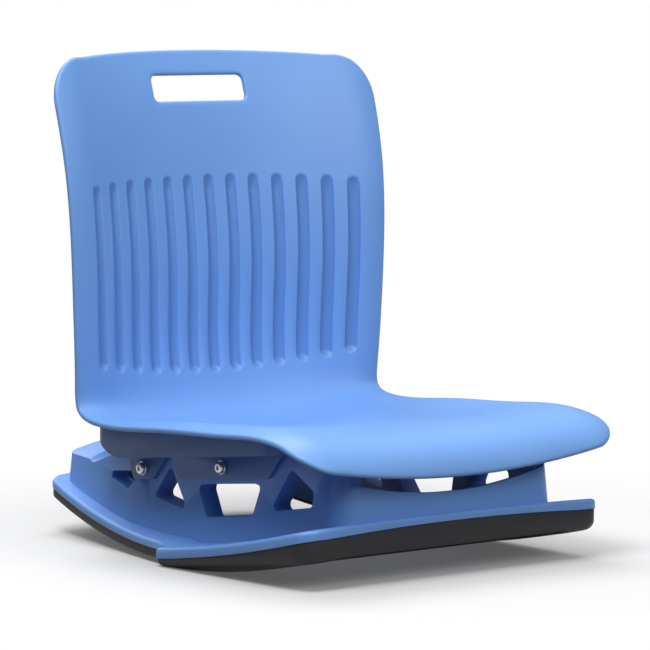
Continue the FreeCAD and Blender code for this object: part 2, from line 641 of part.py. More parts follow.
def make_seat_carrier():
    tray = tray_block(0.0, 0.0, 0.0).cut(tray_block(TRAY_WALL, TRAY_FLOOR, TRAY_WALL))
    rail_space = body_block(-TAB_GAP, -TAB_T, -TAB_T, BODY_FRONT_R)
    plates = body_block(-TAB_GAP - TAB_T, -TAB_GAP, -TAB_GAP, BODY_FRONT_R).cut(rail_space)
    spans = ((TAB_REAR_FROM, TAB_REAR_TO), (TAB_FRONT_FROM, TAB_FRONT_TO))
    tabs = [plates.common(tab_prism(first, last)) for first, last in spans]
    pad_d = WASHER_D + 2 * BOLT_BOSS_LAND
    pads = [bar_across(sign, y, z, pad_d, body_half(z), washer_face(z)).cut(rail_space)
            for sign, y, z in bolt_places()]
    carrier = tray.fuse(tabs + pads).common(under_shell(SHELL_WALL + TRAY_GAP))
    bores = [bar_across(sign, y, z, BOLT_D + 2 * BOLT_CLEAR, 0.0, FAR) for sign, y, z in bolt_places()]
    radius = SHELL_SCREW_D / 2 + SHELL_SCREW_CLEAR
    bores += [Part.makeCylinder(radius, 2 * TRAY_FLOOR, place - TRAY_UP * TRAY_FLOOR, TRAY_UP)
              for place in shell_screw_places()]
    return carrier.cut(bores)


# Fasteners
def hex_prism(flats, sign, y, z, x_from, x_to):
    """Hexagonal bar across the chair between two distances from its middle."""
    radius = flats / 2 / math.cos(math.pi / HEX_SIDES)
    turns = [2 * math.pi * i / HEX_SIDES for i in range(HEX_SIDES + 1)]
    points = [V(sign * x_from, y + radius * math.cos(turn), z + radius * math.sin(turn)) for turn in turns]
    return prism(Part.makePolygon(points), V(sign * (x_to - x_from), 0, 0))


def make_carrier_bolts():
    bolts = []
    for sign, y, z in bolt_places():
        seat = washer_face(z) + WASHER_T
        crown = seat + BOLT_HEAD_H
        shank = bar_across(sign, y, z, BOLT_D, nut_face(z) - NUT_H - BOLT_TAIL, seat)
        foot, out = V(sign * seat, y, z), V(sign, 0, 0)
        head = Part.makeCone(BOLT_HEAD_D / 2, BOLT_CROWN_D / 2, BOLT_HEAD_H, foot, out)
        socket = hex_prism(BOLT_SOCKET_AF, sign, y, z, crown - BOLT_SOCKET_DEPTH, crown + BOLT_HEAD_H)
        bolts.append(shank.fuse(head).cut(socket))
    return Part.makeCompound(bolts)


def make_bolt_washers():
    washers = []
    for sign, y, z in bolt_places():
        ends = washer_face(z), washer_face(z) + WASHER_T
        hole = bar_across(sign, y, z, BOLT_D + 2 * BOLT_CLEAR, *ends)
        washers.append(bar_across(sign, y, z, WASHER_D, *ends).cut(hole))
    return Part.makeCompound(washers)


def make_lock_nuts():
    nuts = []
    for sign, y, z in bolt_places():
        ends = nut_face(z) - NUT_H, nut_face(z)
        nuts.append(hex_prism(NUT_AF, sign, y, z, *ends).cut(bar_across(sign, y, z, BOLT_D, *ends)))
    return Part.makeCompound(nuts)


def make_shell_screws():
    screws = []
    for place in shell_screw_places():
        seat = place - TRAY_UP * SHELL_WASHER_T
        length = SHELL_WASHER_T + TRAY_FLOOR + SHELL_SCREW_BITE
        shank = Part.makeCylinder(SHELL_SCREW_D / 2, length, seat, TRAY_UP)
        head = Part.makeCylinder(SHELL_SCREW_HEAD_D / 2, SHELL_SCREW_HEAD_H, seat, TRAY_UP * -1)
        screws.append(shank.fuse(head))
    return Part.makeCompound(screws)


def make_shell_screw_washers():
    washers = []
    for place in shell_screw_places():
        disc = Part.makeCylinder(SHELL_WASHER_D / 2, SHELL_WASHER_T, place, TRAY_UP * -1)
        radius = SHELL_SCREW_D / 2 + SHELL_SCREW_CLEAR
        washers.append(disc.cut(Part.makeCylinder(radius, SHELL_WASHER_T, place, TRAY_UP * -1)))
    return Part.makeCompound(washers)


def front_screw_places():
    """Where the front tread's screws enter the flange."""
    for y in (TREAD_SCREW_FRONT_Y, TREAD_SCREW_MIDDLE_Y, TREAD_SCREW_REAR_Y):
        for x in (-TREAD_SCREW_X, TREAD_SCREW_X):
            yield V(x, y, arc_height(FLANGE_ARC_R, FLANGE_LOW_Y, FLANGE_LOW_Z, y))


def tail_screw_places():
    """Where the rear tread's screws enter the flange."""
    for y in (TAIL_SCREW_FRONT_Y, TAIL_SCREW_MIDDLE_Y, TAIL_SCREW_REAR_Y):
        for sign in (-1, 1):
            x = tail_half(y) - TAIL_SCREW_IN
            yield V(sign * x, y, arc_height(TAIL_ARC_R, TAIL_LOW_Y, TAIL_LOW_Z, y))


def tread_screw_holes(places):
    """Clearance holes in a tread, counterbored from below."""
    for place in places:
        seat = place - V(0, 0, TREAD_SCREW_GRIP)
        yield Part.makeCylinder(TREAD_SCREW_D / 2 + TREAD_SCREW_CLEAR, 2 * TREAD_SCREW_GRIP, seat)
        yield Part.makeCylinder(TREAD_SCREW_HEAD_D / 2 + TREAD_SCREW_CLEAR, FAR, seat, V(0, 0, -1))


def make_tread_screws():
    screws = []
    for place in list(front_screw_places()) + list(tail_screw_places()):
        seat = place - V(0, 0, TREAD_SCREW_GRIP)
        shank = Part.makeCylinder(TREAD_SCREW_D / 2, TREAD_SCREW_GRIP + TREAD_SCREW_BITE, seat)
        head = Part.makeCylinder(TREAD_SCREW_HEAD_D / 2, TREAD_SCREW_HEAD_H, seat, V(0, 0, -1))
        screws.append(shank.fuse(head))
    return Part.makeCompound(screws)


nodes = {
    "seat_shell": make_seat_shell(),
    "seat_carrier": make_seat_carrier(),
    "rocker_base": make_rocker_base(),
    "front_tread": make_front_tread(),
    "rear_tread": make_rear_tread(),
    "carrier_bolts": make_carrier_bolts(),
    "bolt_washers": make_bolt_washers(),
    "lock_nuts": make_lock_nuts(),
    "shell_screws": make_shell_screws(),
    "shell_screw_washers": make_shell_screw_washers(),
    "tread_screws": make_tread_screws(),
}
box = Part.makeCompound(list(nodes.values())).optimalBoundingBox()
to_origin = V(0, -(box.YMin + box.YMax) / 2, -box.ZMin)
for name, shape in nodes.items():
    shape.translate(to_origin)
    shape.exportStep("parts/" + name + ".step")
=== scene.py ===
import math

import bmesh
import bpy
import numpy as np
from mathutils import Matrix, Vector


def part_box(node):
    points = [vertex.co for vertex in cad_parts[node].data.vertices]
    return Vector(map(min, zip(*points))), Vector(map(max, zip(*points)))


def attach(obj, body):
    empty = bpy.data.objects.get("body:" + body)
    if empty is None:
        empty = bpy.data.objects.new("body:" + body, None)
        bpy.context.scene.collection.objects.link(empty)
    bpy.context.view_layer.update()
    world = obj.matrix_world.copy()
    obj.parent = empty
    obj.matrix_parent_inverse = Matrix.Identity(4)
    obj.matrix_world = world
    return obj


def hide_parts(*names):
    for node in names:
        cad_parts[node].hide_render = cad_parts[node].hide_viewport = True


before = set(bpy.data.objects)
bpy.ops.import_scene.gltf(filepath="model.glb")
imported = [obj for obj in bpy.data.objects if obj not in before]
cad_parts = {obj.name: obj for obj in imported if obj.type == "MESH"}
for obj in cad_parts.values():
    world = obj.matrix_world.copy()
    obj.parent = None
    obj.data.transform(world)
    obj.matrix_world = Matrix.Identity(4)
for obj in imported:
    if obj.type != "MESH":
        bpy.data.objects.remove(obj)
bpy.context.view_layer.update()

# Lengths are in millimetres behind a line 20 mm behind the front edge of the base, heights above the floor
MM = 0.001
FRONT_LINE = 20.0
FRONT_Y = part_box("rocker_base")[0][1] + FRONT_LINE * MM

# Seat shell: length, height, half width and forward bow, from the top of the back to the front lip
SHELL_STATIONS = np.array([
    (468.0, 571.0, 235.0, 52.0),
    (447.0, 507.0, 235.0, 53.0),
    (431.5, 424.0, 233.0, 57.0),
    (421.0, 307.0, 229.0, 52.0),
    (417.0, 191.0, 224.0, 45.0),
    (399.0, 152.0, 223.0, 33.0),
    (348.0, 135.0, 224.0, 30.5),
    (230.0, 144.0, 226.0, 25.0),
    (110.0, 157.0, 227.0, 16.0),
    (30.0, 161.0, 230.0, 13.0),
    (-22.0, 145.0, 229.0, 11.0),
    (-40.0, 113.0, 227.0, 8.0),
])
TOP_HALF, HAND_HALF, LIP_HALF = SHELL_STATIONS[[0, 1, -1], 2]
SHELL_WALL = 7.0
RIM_R = SHELL_WALL / 2
RIM_TURNS = np.radians((60.0, 30.0, 0.0, -30.0, -60.0))
RIM_ROLL, RIM_ROLL_START = 12.0, 0.82
TOP_CROWN, TOP_CORNER_R = 31.0, 56.0
LIP_RISE, LIP_CORNER_R = 19.0, 38.0
TOP_FADE, LIP_FADE = 130.0, 170.0

# Flutes of the back: their step is a share of its half width, and their ends follow two arcs
FLUTE_PAIRS, FLUTE_STEP = 6, 0.1355
FLUTE_HALF_W, FLUTE_DEPTH = 7.4, 5.6
FLUTE_TOP_RAMP, FLUTE_LOW_RAMP, FLUTE_END_SHARE = 18.0, 9.0, 0.42
FLUTE_TOP, FLUTE_TOP_DROP = 417.0, 7.0
FLUTE_LOW, FLUTE_LOW_RISE = 198.0, 15.0

HAND_HOLE_HALF, HAND_HOLE_RISE, HAND_HOLE_R, HAND_HOLE_Z = 67.0, 15.0, 7.0, 526.0

# Numbers kept on the points of a mesh: some only for the trees, one for the finish, which paints shade into the
# flutes
HELPER_LAYERS = ("across", "half_width", "height", "rear_side", "inward", "aim")
# Share of painted shade in the flutes, kept for the finish
PAINTED_SHADE_LAYER = "recess"

# Grid of the shell: columns by their distance from the middle of a flute, rows by where a band ends and its step
BACK_HALF = 231.0
FLUTE_COLUMNS = np.array((0.0, 2.2, 4.2, 5.7, 6.6, 7.15, 7.45, 8.6)) / BACK_HALF
CORNER_COLUMNS, SHARE_DIGITS = 12, 5
ROW_BANDS = ((6, 2.0), (75, 3.0), (140, 8.0), (172, 1.6), (345, 10.0), (396, 1.7), (500, 5.0), (770, 11.0))
LIP_ROW_STEP = 4.0
LIP_TRIAL_SHARE, LIP_TRIALS = 0.8, 300
SKIN_TRIES = 8


def placed(points):
    """Points as (across, length, height) in millimetres, moved to the frame in metres."""
    points = np.asarray(points, float)
    return points * MM + np.array((0.0, FRONT_Y, 0.0))


def smooth_curve(knots, values):
    """Cubic spline through values at knots, with the end slopes of cubics through the four end values."""
    count = len(knots)
    gaps = np.diff(knots)
    slopes = np.diff(values, axis=0) / gaps[:, None]
    first = np.polyfit(knots[:4] - knots[0], values[:4], 3)[2]
    last = np.polyfit(knots[-4:] - knots[-1], values[-4:], 3)[2]
    matrix = np.zeros((count, count))
    right = np.zeros_like(values)
    matrix[0, :2] = 2 * gaps[0], gaps[0]
    right[0] = 6 * (slopes[0] - first)
    matrix[-1, -2:] = gaps[-1], 2 * gaps[-1]
    right[-1] = 6 * (last - slopes[-1])
    for i in range(1, count - 1):
        matrix[i, i - 1:i + 2] = gaps[i - 1], 2 * (gaps[i - 1] + gaps[i]), gaps[i]
        right[i] = 6 * (slopes[i] - slopes[i - 1])
    bends = np.linalg.solve(matrix, right)

    def value(run):
        run = np.asarray(run, float)
        i = np.clip(np.searchsorted(knots, run) - 1, 0, count - 2)
        gap = gaps[i][..., None]
        a = (knots[i + 1] - run)[..., None]
        b = (run - knots[i])[..., None]
        curved = (bends[i] * a ** 3 + bends[i + 1] * b ** 3) / (6 * gap)
        straight_a = (values[i] / gap - bends[i] * gap / 6) * a
        straight_b = (values[i + 1] / gap - bends[i + 1] * gap / 6) * b
        return curved + straight_a + straight_b

    return value


station_gaps = np.linalg.norm(np.diff(SHELL_STATIONS[:, :2], axis=0), axis=1)
station_runs = np.concatenate(((0.0,), np.cumsum(station_gaps)))
SHELL_RUN = station_runs[-1]
shell_line = smooth_curve(station_runs, SHELL_STATIONS)


def shell_skin(run, across):
    """Sitter's side of the shell, for a run down the middle line and a share across from -1 to 1."""
    run, across = np.broadcast_arrays(np.asarray(run, float), np.asarray(across, float))
    length, height, half, bow = np.moveaxis(shell_line(run), -1, 0)
    step = 0.05
    slope = (shell_line(run + step) - shell_line(run - step))[..., :2]
    slope = slope / np.linalg.norm(slope, axis=-1, keepdims=True)
    roll = np.maximum(0.0, (np.abs(across) - RIM_ROLL_START) / (1 - RIM_ROLL_START))
    lift = bow * across ** 2 - RIM_ROLL * roll ** 2
    return np.stack((half * across, length + slope[..., 1] * lift, height - slope[..., 0] * lift), axis=-1)


def shell_facing(run, across):
    """Unit direction out of the sitter's side."""
    step, side_step = 0.5, 0.002
    along = shell_skin(np.minimum(run + step, SHELL_RUN), across)
    along = along - shell_skin(np.maximum(run - step, 0.0), across)
    over = shell_skin(run, np.minimum(across + side_step, 1.0))
    over = over - shell_skin(run, np.maximum(across - side_step, -1.0))
    facing = np.cross(along, over)
    return facing / np.linalg.norm(facing, axis=-1, keepdims=True)


def rounding(distance, radius):
    """How far a rounded corner has fallen away at a distance into it."""
    inside = np.clip(distance, 0.0, radius)
    return radius - np.sqrt(radius ** 2 - inside ** 2)


def top_start(across):
    """Run at which the shell starts at its crowned top."""
    corner = 1 - TOP_CORNER_R / TOP_HALF
    distance = np.abs(across) * TOP_HALF - (TOP_HALF - TOP_CORNER_R)
    crown = TOP_CROWN * np.minimum(np.abs(across), corner) ** 2
    return crown + RIM_R + rounding(distance, TOP_CORNER_R - RIM_R)


def lip_end(across):
    """Run at which the shell ends at its front lip, whose corners are round from above."""
    corner = 1 - LIP_CORNER_R / LIP_HALF
    edge = shell_skin(SHELL_RUN - RIM_R - LIP_RISE * corner ** 2, corner)[1]
    trial = np.linspace(SHELL_RUN - LIP_FADE * LIP_TRIAL_SHARE, SHELL_RUN, LIP_TRIALS)
    ends = []
    for share in across:
        end = SHELL_RUN - RIM_R - LIP_RISE * share ** 2
        distance = abs(share) * LIP_HALF - (LIP_HALF - LIP_CORNER_R)
        if distance > 0:
            line = edge + rounding(distance, LIP_CORNER_R - RIM_R)
            lengths = shell_skin(trial, share)[:, 1]
            end = min(end, np.interp(line, lengths[::-1], trial[::-1]))
        ends.append(end)
    return np.array(ends)


def shell_columns():
    """Shares across the shell, close together at the flutes and round the corners."""
    marks = set()
    for i in range(-FLUTE_PAIRS, FLUTE_PAIRS + 1):
        for offset in FLUTE_COLUMNS:
            marks.add(round(i * FLUTE_STEP + offset, SHARE_DIGITS))
            marks.add(round(i * FLUTE_STEP - offset, SHARE_DIGITS))
        if i < FLUTE_PAIRS:
            marks.add(round((i + 0.5) * FLUTE_STEP, SHARE_DIGITS))
    radius = TOP_CORNER_R - RIM_R
    first = math.asin((max(marks) * TOP_HALF - (TOP_HALF - TOP_CORNER_R)) / radius)
    for turn in np.linspace(first, math.pi / 2, CORNER_COLUMNS)[1:]:
        share = (TOP_HALF - TOP_CORNER_R + radius * math.sin(turn)) / TOP_HALF
        marks.add(round(share, SHARE_DIGITS))
        marks.add(round(-share, SHARE_DIGITS))
    return np.array(sorted(marks))


def shell_rows():
    """Runs down the shell, close together at the hand hole, the ends of the flutes, the bend and the lip."""
    rows, start = [], 0.0
    for end, step in ROW_BANDS + ((SHELL_RUN, LIP_ROW_STEP),):
        rows.extend(np.linspace(start, end, round((end - start) / step), endpoint=False))
        start = end
    rows.append(SHELL_RUN)
    return np.array(rows)


def shell_grid(across):
    """Run and share across of every grid point, with the first and last rows on the ends of the shell."""
    rows = shell_rows()[:, None]
    start, end = top_start(across), lip_end(across)
    lip_from = SHELL_RUN - LIP_FADE
    upper = start + rows * (TOP_FADE - start) / TOP_FADE
    lower = lip_from + (rows - lip_from) * (end - lip_from) / LIP_FADE
    run = np.where(rows < TOP_FADE, upper, np.where(rows > lip_from, lower, rows))
    return run, np.broadcast_to(across, run.shape).copy()


def on_skin(x, height, run):
    """Run and share across of the skin's point at a place in the front view."""
    for _ in range(SKIN_TRIES):
        half = shell_line(run)[..., 2]
        run = run + shell_skin(run, x / half)[..., 2] - height
    return run, x / shell_line(run)[..., 2]


def hand_hole_edge(x, height):
    """Nearest point of the hand hole's outline, drawn wider by the rounding of its rim."""
    radius = HAND_HOLE_R + RIM_R
    core_half, core_rise = HAND_HOLE_HALF - HAND_HOLE_R, HAND_HOLE_RISE - HAND_HOLE_R
    core_x = np.clip(x, -core_half, core_half)
    core_z = np.clip(height - HAND_HOLE_Z, -core_rise, core_rise)
    away = np.stack((x - core_x, height - HAND_HOLE_Z - core_z), axis=-1)
    away = away / np.linalg.norm(away, axis=-1, keepdims=True)
    return core_x + away[..., 0] * radius, HAND_HOLE_Z + core_z + away[..., 1] * radius


def border(top, low, left, right):
    """Rows and columns of the grid points round a block of cells, in order."""
    points = [(top, j) for j in range(left, right)] + [(i, right) for i in range(top, low)]
    points += [(low, j) for j in range(right, left, -1)] + [(i, left) for i in range(low, top, -1)]
    rows, columns = np.array(points).T
    return rows, columns


def open_hand_hole(run, share, across):
    """Moves the grid points round the hand hole to its outline, and gives the block of cells that it takes."""
    middle = len(across) // 2
    heights = shell_skin(run[:, middle], share[:, middle])[:, 2]
    half, rise = HAND_HOLE_HALF + RIM_R, HAND_HOLE_RISE + RIM_R
    top = int(np.argmin(np.abs(heights - (HAND_HOLE_Z + rise))))
    low = int(np.argmin(np.abs(heights - (HAND_HOLE_Z - rise))))
    left = int(np.argmin(np.abs(across * HAND_HALF + half)))
    right = len(across) - 1 - left
    loop = rows, columns = border(top, low, left, right)
    spots = shell_skin(run[loop], share[loop])
    x = np.where(columns == left, -half, np.where(columns == right, half, spots[:, 0]))
    height = np.where(rows == low, HAND_HOLE_Z - rise, spots[:, 2])
    height = np.where(rows == top, HAND_HOLE_Z + rise, height)
    x, height = hand_hole_edge(x, height)
    run[loop], share[loop] = on_skin(x, height, run[loop])
    return top, low, left, right


def quad_band(near, far):
    """Quads between two closed rings of points."""
    return np.stack((near, np.roll(near, -1), np.roll(far, -1), far), axis=-1)


def round_rim(skin, facing, index, loop, sign, first):
    """Points of a round rim along a loop of grid points, and its quads from the front skin to the rear one."""
    spots, normals = skin[loop], facing[loop]
    along = np.roll(spots, -1, axis=0) - np.roll(spots, 1, axis=0)
    outward = np.cross(normals, along) * sign
    outward /= np.linalg.norm(outward, axis=1, keepdims=True)
    seam = spots - normals * RIM_R
    points, rings = [], [index[loop]]
    for turn in RIM_TURNS:
        points.append(seam + outward * (RIM_R * math.cos(turn)) + normals * (RIM_R * math.sin(turn)))
        rings.append(np.arange(first, first + len(seam)))
        first += len(seam)
    rings.append(rings[0] + index.size)
    quads = [quad_band(near, far) for near, far in zip(rings, rings[1:])]
    return np.concatenate(points), np.concatenate(quads)


def new_object(name, mesh):
    piece = bpy.data.objects.new(name, mesh)
    bpy.context.scene.collection.objects.link(piece)
    return piece


def stands_for(piece, node):
    """Hands a finished piece over in place of a CAD node."""
    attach(piece, "root")
    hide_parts(node)


def tidy_normals(mesh):
    work = bmesh.new()
    work.from_mesh(mesh)
    bmesh.ops.recalc_face_normals(work, faces=work.faces)
    for face in work.faces:
        face.smooth = True
    work.to_mesh(mesh)
    work.free()


def store_numbers(mesh, name, values, kind="FLOAT"):
    layer = mesh.attributes.new(name, kind, "POINT")
    field = "vector" if kind == "FLOAT_VECTOR" else "value"
    layer.data.foreach_set(field, np.asarray(values, np.float32).ravel())


def shell_blank():
    """Shell with plain faces on both sides, round rims and the hand hole, before the flutes are pressed in."""
    across = shell_columns()
    run, share = shell_grid(across)
    hole = top, low, left, right = open_hand_hole(run, share, across)
    skin, facing = shell_skin(run, share), shell_facing(run, share)
    size = run.size
    index = np.arange(size).reshape(run.shape)
    quads = np.stack((index[:-1, :-1], index[1:, :-1], index[1:, 1:], index[:-1, 1:]), axis=-1)
    solid = np.ones(quads.shape[:2], bool)
    solid[top:low, left:right] = False
    quads = quads[solid]
    used = np.zeros(size, bool)
    used[quads.ravel()] = True

    points = [skin.reshape(-1, 3), (skin - facing * SHELL_WALL).reshape(-1, 3)]
    faces = [quads, quads[:, ::-1] + size]
    total = 2 * size
    outside = (0, run.shape[0] - 1, 0, run.shape[1] - 1)
    for block, sign in ((outside, 1.0), (hole, -1.0)):
        rim_points, rim_quads = round_rim(skin, facing, index, border(*block), sign, total)
        points.append(rim_points)
        faces.append(rim_quads)
        total += len(rim_points)
    points = np.concatenate(points)

    # What the flutes need to know of each point; the rims count as lying beside them
    rim = total - 2 * size
    halves, inward = shell_line(run)[..., 2].ravel(), -facing.reshape(-1, 3)
    layers = {
        "across": (share.ravel(), share.ravel(), np.ones(rim)),
        "half_width": (halves, halves, np.full(rim, BACK_HALF)),
        "height": (skin[..., 2].ravel(), skin[..., 2].ravel(), points[2 * size:, 2]),
        "rear_side": (np.zeros(size), np.ones(size), np.zeros(rim)),
        "inward": (inward, inward, np.zeros((rim, 3))),
    }
    keep = np.concatenate((used, used, np.ones(rim, bool)))
    renumber = np.cumsum(keep) - 1
    mesh = bpy.data.meshes.new("shell_blank")
    mesh.from_pydata(placed(points[keep]).tolist(), [], renumber[np.concatenate(faces)].tolist())
    for name, values in layers.items():
        store_numbers(mesh, name, np.concatenate(values)[keep], "FLOAT_VECTOR" if name == "inward" else "FLOAT")
    tidy_normals(mesh)
    return mesh


# Node trees
def fill(node, values):
    """Sets the inputs of a node by name."""
    for name, value in values.items():
        node.inputs[name].default_value = value


class Tree:
    """Short ways to lay out the nodes of one tree."""

    def __init__(self, name, kind):
        self.tree = bpy.data.node_groups.new(name, kind)
        self.inputs = self.tree.nodes.new("NodeGroupInput")
        self.outputs = self.tree.nodes.new("NodeGroupOutput")

    def socket(self, name, kind, direction="INPUT"):
        self.tree.interface.new_socket(name=name, in_out=direction, socket_type=kind)

    def node(self, kind, **settings):
        made = self.tree.nodes.new(kind)
        for key, value in settings.items():
            setattr(made, key, value)
        return made

    def link(self, source, target):
        self.tree.links.new(source, target)

    def math(self, operation, *values):
        made = self.node("ShaderNodeMath", operation=operation)
        for socket, value in zip(made.inputs, values):
            if isinstance(value, bpy.types.NodeSocket):
                self.link(value, socket)
            else:
                socket.default_value = value
        return made.outputs[0]

    def stored(self, name, kind="FLOAT"):
        made = self.node("GeometryNodeInputNamedAttribute", data_type=kind)
        fill(made, {"Name": name})
        return made.outputs["Attribute"]

    def coat(self, geometry):
        """Gives the geometry its finish and ends the tree."""
        coated = self.node("GeometryNodeSetMaterial")
        self.link(geometry, coated.inputs["Geometry"])
        self.link(self.inputs.outputs["Finish"], coated.inputs["Material"])
        self.link(coated.outputs[0], self.outputs.inputs[0])


def flute_tree():
    """Presses a row of round-bottomed flutes into the front of the shell, shallower at their ends, and stores their
    depth profile as the share of painted shade.
    """
    t = Tree("back_flutes", "GeometryNodeTree")
    t.socket("Geometry", "NodeSocketGeometry")
    for name in ("Pairs", "Step", "Half Width", "Depth", "Top Ramp", "Low Ramp", "End Share",
                 "Top", "Top Drop", "Low", "Low Rise"):
        t.socket(name, "NodeSocketFloat")
    t.socket("Finish", "NodeSocketMaterial")
    t.socket("Geometry", "NodeSocketGeometry", "OUTPUT")
    given = t.inputs.outputs
    across, half, height = t.stored("across"), t.stored("half_width"), t.stored("height")
    nearest = t.math("ROUND", t.math("DIVIDE", across, given["Step"]))
    nearest = t.math("MINIMUM", nearest, given["Pairs"])
    nearest = t.math("MAXIMUM", nearest, t.math("MULTIPLY", given["Pairs"], -1.0))
    share = t.math("POWER", t.math("ABSOLUTE", t.math("DIVIDE", nearest, given["Pairs"])), 2.0)
    top = t.math("SUBTRACT", given["Top"], t.math("MULTIPLY", given["Top Drop"], share))
    low = t.math("ADD", given["Low"], t.math("MULTIPLY", given["Low Rise"], share))
    aside = t.math("MULTIPLY", t.math("SUBTRACT", across, t.math("MULTIPLY", nearest, given["Step"])), half)
    beyond = t.math("MAXIMUM", t.math("SUBTRACT", height, top), t.math("SUBTRACT", low, height))
    beyond = t.math("MAXIMUM", beyond, 0.0)
    distance = t.math("ADD", t.math("MULTIPLY", aside, aside), t.math("MULTIPLY", beyond, beyond))

    spread = t.math("DIVIDE", distance, t.math("MULTIPLY", given["Half Width"], given["Half Width"]))
    hollow = t.math("SQRT", t.math("MAXIMUM", t.math("SUBTRACT", 1.0, spread), 0.0))
    hollow = t.math("MULTIPLY", hollow, t.math("SUBTRACT", 1.0, t.stored("rear_side")))
    depth = t.math("MULTIPLY", hollow, given["Depth"])
    from_top = t.math("SUBTRACT", t.math("ADD", top, given["Half Width"]), height)
    from_low = t.math("ADD", t.math("SUBTRACT", height, low), given["Half Width"])
    for away, reach in ((from_top, given["Top Ramp"]), (from_low, given["Low Ramp"])):
        ramp = t.node("ShaderNodeMapRange", interpolation_type="SMOOTHSTEP")
        t.link(away, ramp.inputs["Value"])
        t.link(reach, ramp.inputs["From Max"])
        t.link(given["End Share"], ramp.inputs["To Min"])
        depth = t.math("MULTIPLY", depth, ramp.outputs[0])
    push = t.node("ShaderNodeVectorMath", operation="SCALE")
    t.link(t.stored("inward", "FLOAT_VECTOR"), push.inputs[0])
    t.link(t.math("MULTIPLY", depth, MM), push.inputs["Scale"])
    moved = t.node("GeometryNodeSetPosition")
    t.link(given["Geometry"], moved.inputs["Geometry"])
    t.link(push.outputs[0], moved.inputs["Offset"])
    # Painted shade: the flutes' depth profile is kept for the finish, which darkens the colour by it
    kept = t.node("GeometryNodeStoreNamedAttribute", data_type="FLOAT", domain="POINT")
    fill(kept, {"Name": PAINTED_SHADE_LAYER})
    t.link(moved.outputs[0], kept.inputs["Geometry"])
    t.link(hollow, kept.inputs["Value"])
    t.coat(kept.outputs[0])
    return t.tree


def grown(piece, tree, values):
    """Runs a geometry tree on a piece and keeps the result as its plain mesh."""
    modifier = piece.modifiers.new(tree.name, "NODES")
    modifier.node_group = tree
    for item in tree.interface.items_tree:
        if item.in_out == "INPUT" and item.name in values:
            modifier[item.identifier] = values[item.name]
    bpy.context.view_layer.update()
    shown = piece.evaluated_get(bpy.context.evaluated_depsgraph_get())
    mesh = bpy.data.meshes.new_from_object(shown)
    piece.modifiers.remove(modifier)
    piece.data = mesh
    for name in HELPER_LAYERS:
        if name in mesh.attributes:
            mesh.attributes.remove(mesh.attributes[name])


# Finishes
NOISE_LOW, NOISE_HIGH = 0.3, 0.7
GLOSS_SPREAD = 0.06
GRAIN_HEIGHT = 0.0004


def mottle_group():
    """Slow change of tone and a fine moulded grain, from the place on the piece."""
    t = Tree("moulded_grain", "ShaderNodeTree")
    place = t.node("ShaderNodeTexCoord")
    for name, size, settings in (("Tone", "Tone Size", {"Detail": 4.0}),
                                 ("Grain", "Grain Size", {"Detail": 3.0, "Roughness": 0.6})):
        t.socket(size, "NodeSocketFloat")
        t.socket(name, "NodeSocketFloat", "OUTPUT")
        noise = t.node("ShaderNodeTexNoise")
        fill(noise, settings)
        t.link(place.outputs["Object"], noise.inputs["Vector"])
        t.link(t.inputs.outputs[size], noise.inputs["Scale"])
        t.link(noise.outputs[0], t.outputs.inputs[name])
    return t.tree


def finish_material(name, dark, light, roughness, metallic=0.0, grain=0.05, tone_size=9.0, grain_size=900.0,
                    painted_shade_tone=None):
    """Principled finish whose tone, gloss and surface follow the shared grain; where a shade tone is given, shade is
    painted into the flutes' hollows by their stored depth.
    """
    material = bpy.data.materials.new(name)
    material.use_nodes = True
    nodes, links = material.node_tree.nodes, material.node_tree.links
    shader = nodes["Principled BSDF"]
    fill(shader, {"Metallic": metallic})
    group = nodes.new("ShaderNodeGroup")
    group.node_tree = grain_group
    fill(group, {"Tone Size": tone_size, "Grain Size": grain_size})
    ramp = nodes.new("ShaderNodeValToRGB")
    for element, position, tone in zip(ramp.color_ramp.elements, (NOISE_LOW, NOISE_HIGH), (dark, light)):
        element.position = position
        element.color = (*tone, 1.0)
    links.new(group.outputs["Tone"], ramp.inputs[0])
    colour = ramp.outputs[0]
    # Painted shade: the colour darkens towards the shade tone by the stored depth share of the flutes
    if painted_shade_tone:
        hollow = nodes.new("ShaderNodeAttribute")
        hollow.attribute_name = PAINTED_SHADE_LAYER
        painted_shade_mix = nodes.new("ShaderNodeMix")
        painted_shade_mix.data_type = "RGBA"
        fill(painted_shade_mix, {"B": (*painted_shade_tone, 1.0)})
        links.new(hollow.outputs["Fac"], painted_shade_mix.inputs["Factor"])
        links.new(colour, painted_shade_mix.inputs["A"])
        colour = painted_shade_mix.outputs["Result"]
    links.new(colour, shader.inputs["Base Color"])
    gloss = nodes.new("ShaderNodeMapRange")
    fill(gloss, {"From Min": NOISE_LOW, "From Max": NOISE_HIGH,
                 "To Min": roughness - GLOSS_SPREAD, "To Max": roughness + GLOSS_SPREAD})
    links.new(group.outputs["Grain"], gloss.inputs["Value"])
    links.new(gloss.outputs[0], shader.inputs["Roughness"])
    bump = nodes.new("ShaderNodeBump")
    fill(bump, {"Strength": grain, "Distance": GRAIN_HEIGHT})
    links.new(group.outputs["Grain"], bump.inputs["Height"])
    links.new(bump.outputs[0], shader.inputs["Normal"])
    return material


grain_group = mottle_group()
# The shell's flutes get painted shade: a darker blue by their depth
shell_blue = finish_material("shell_blue", (0.166, 0.358, 0.775), (0.178, 0.378, 0.805), 0.44,
                             painted_shade_tone=(0.108, 0.255, 0.59))
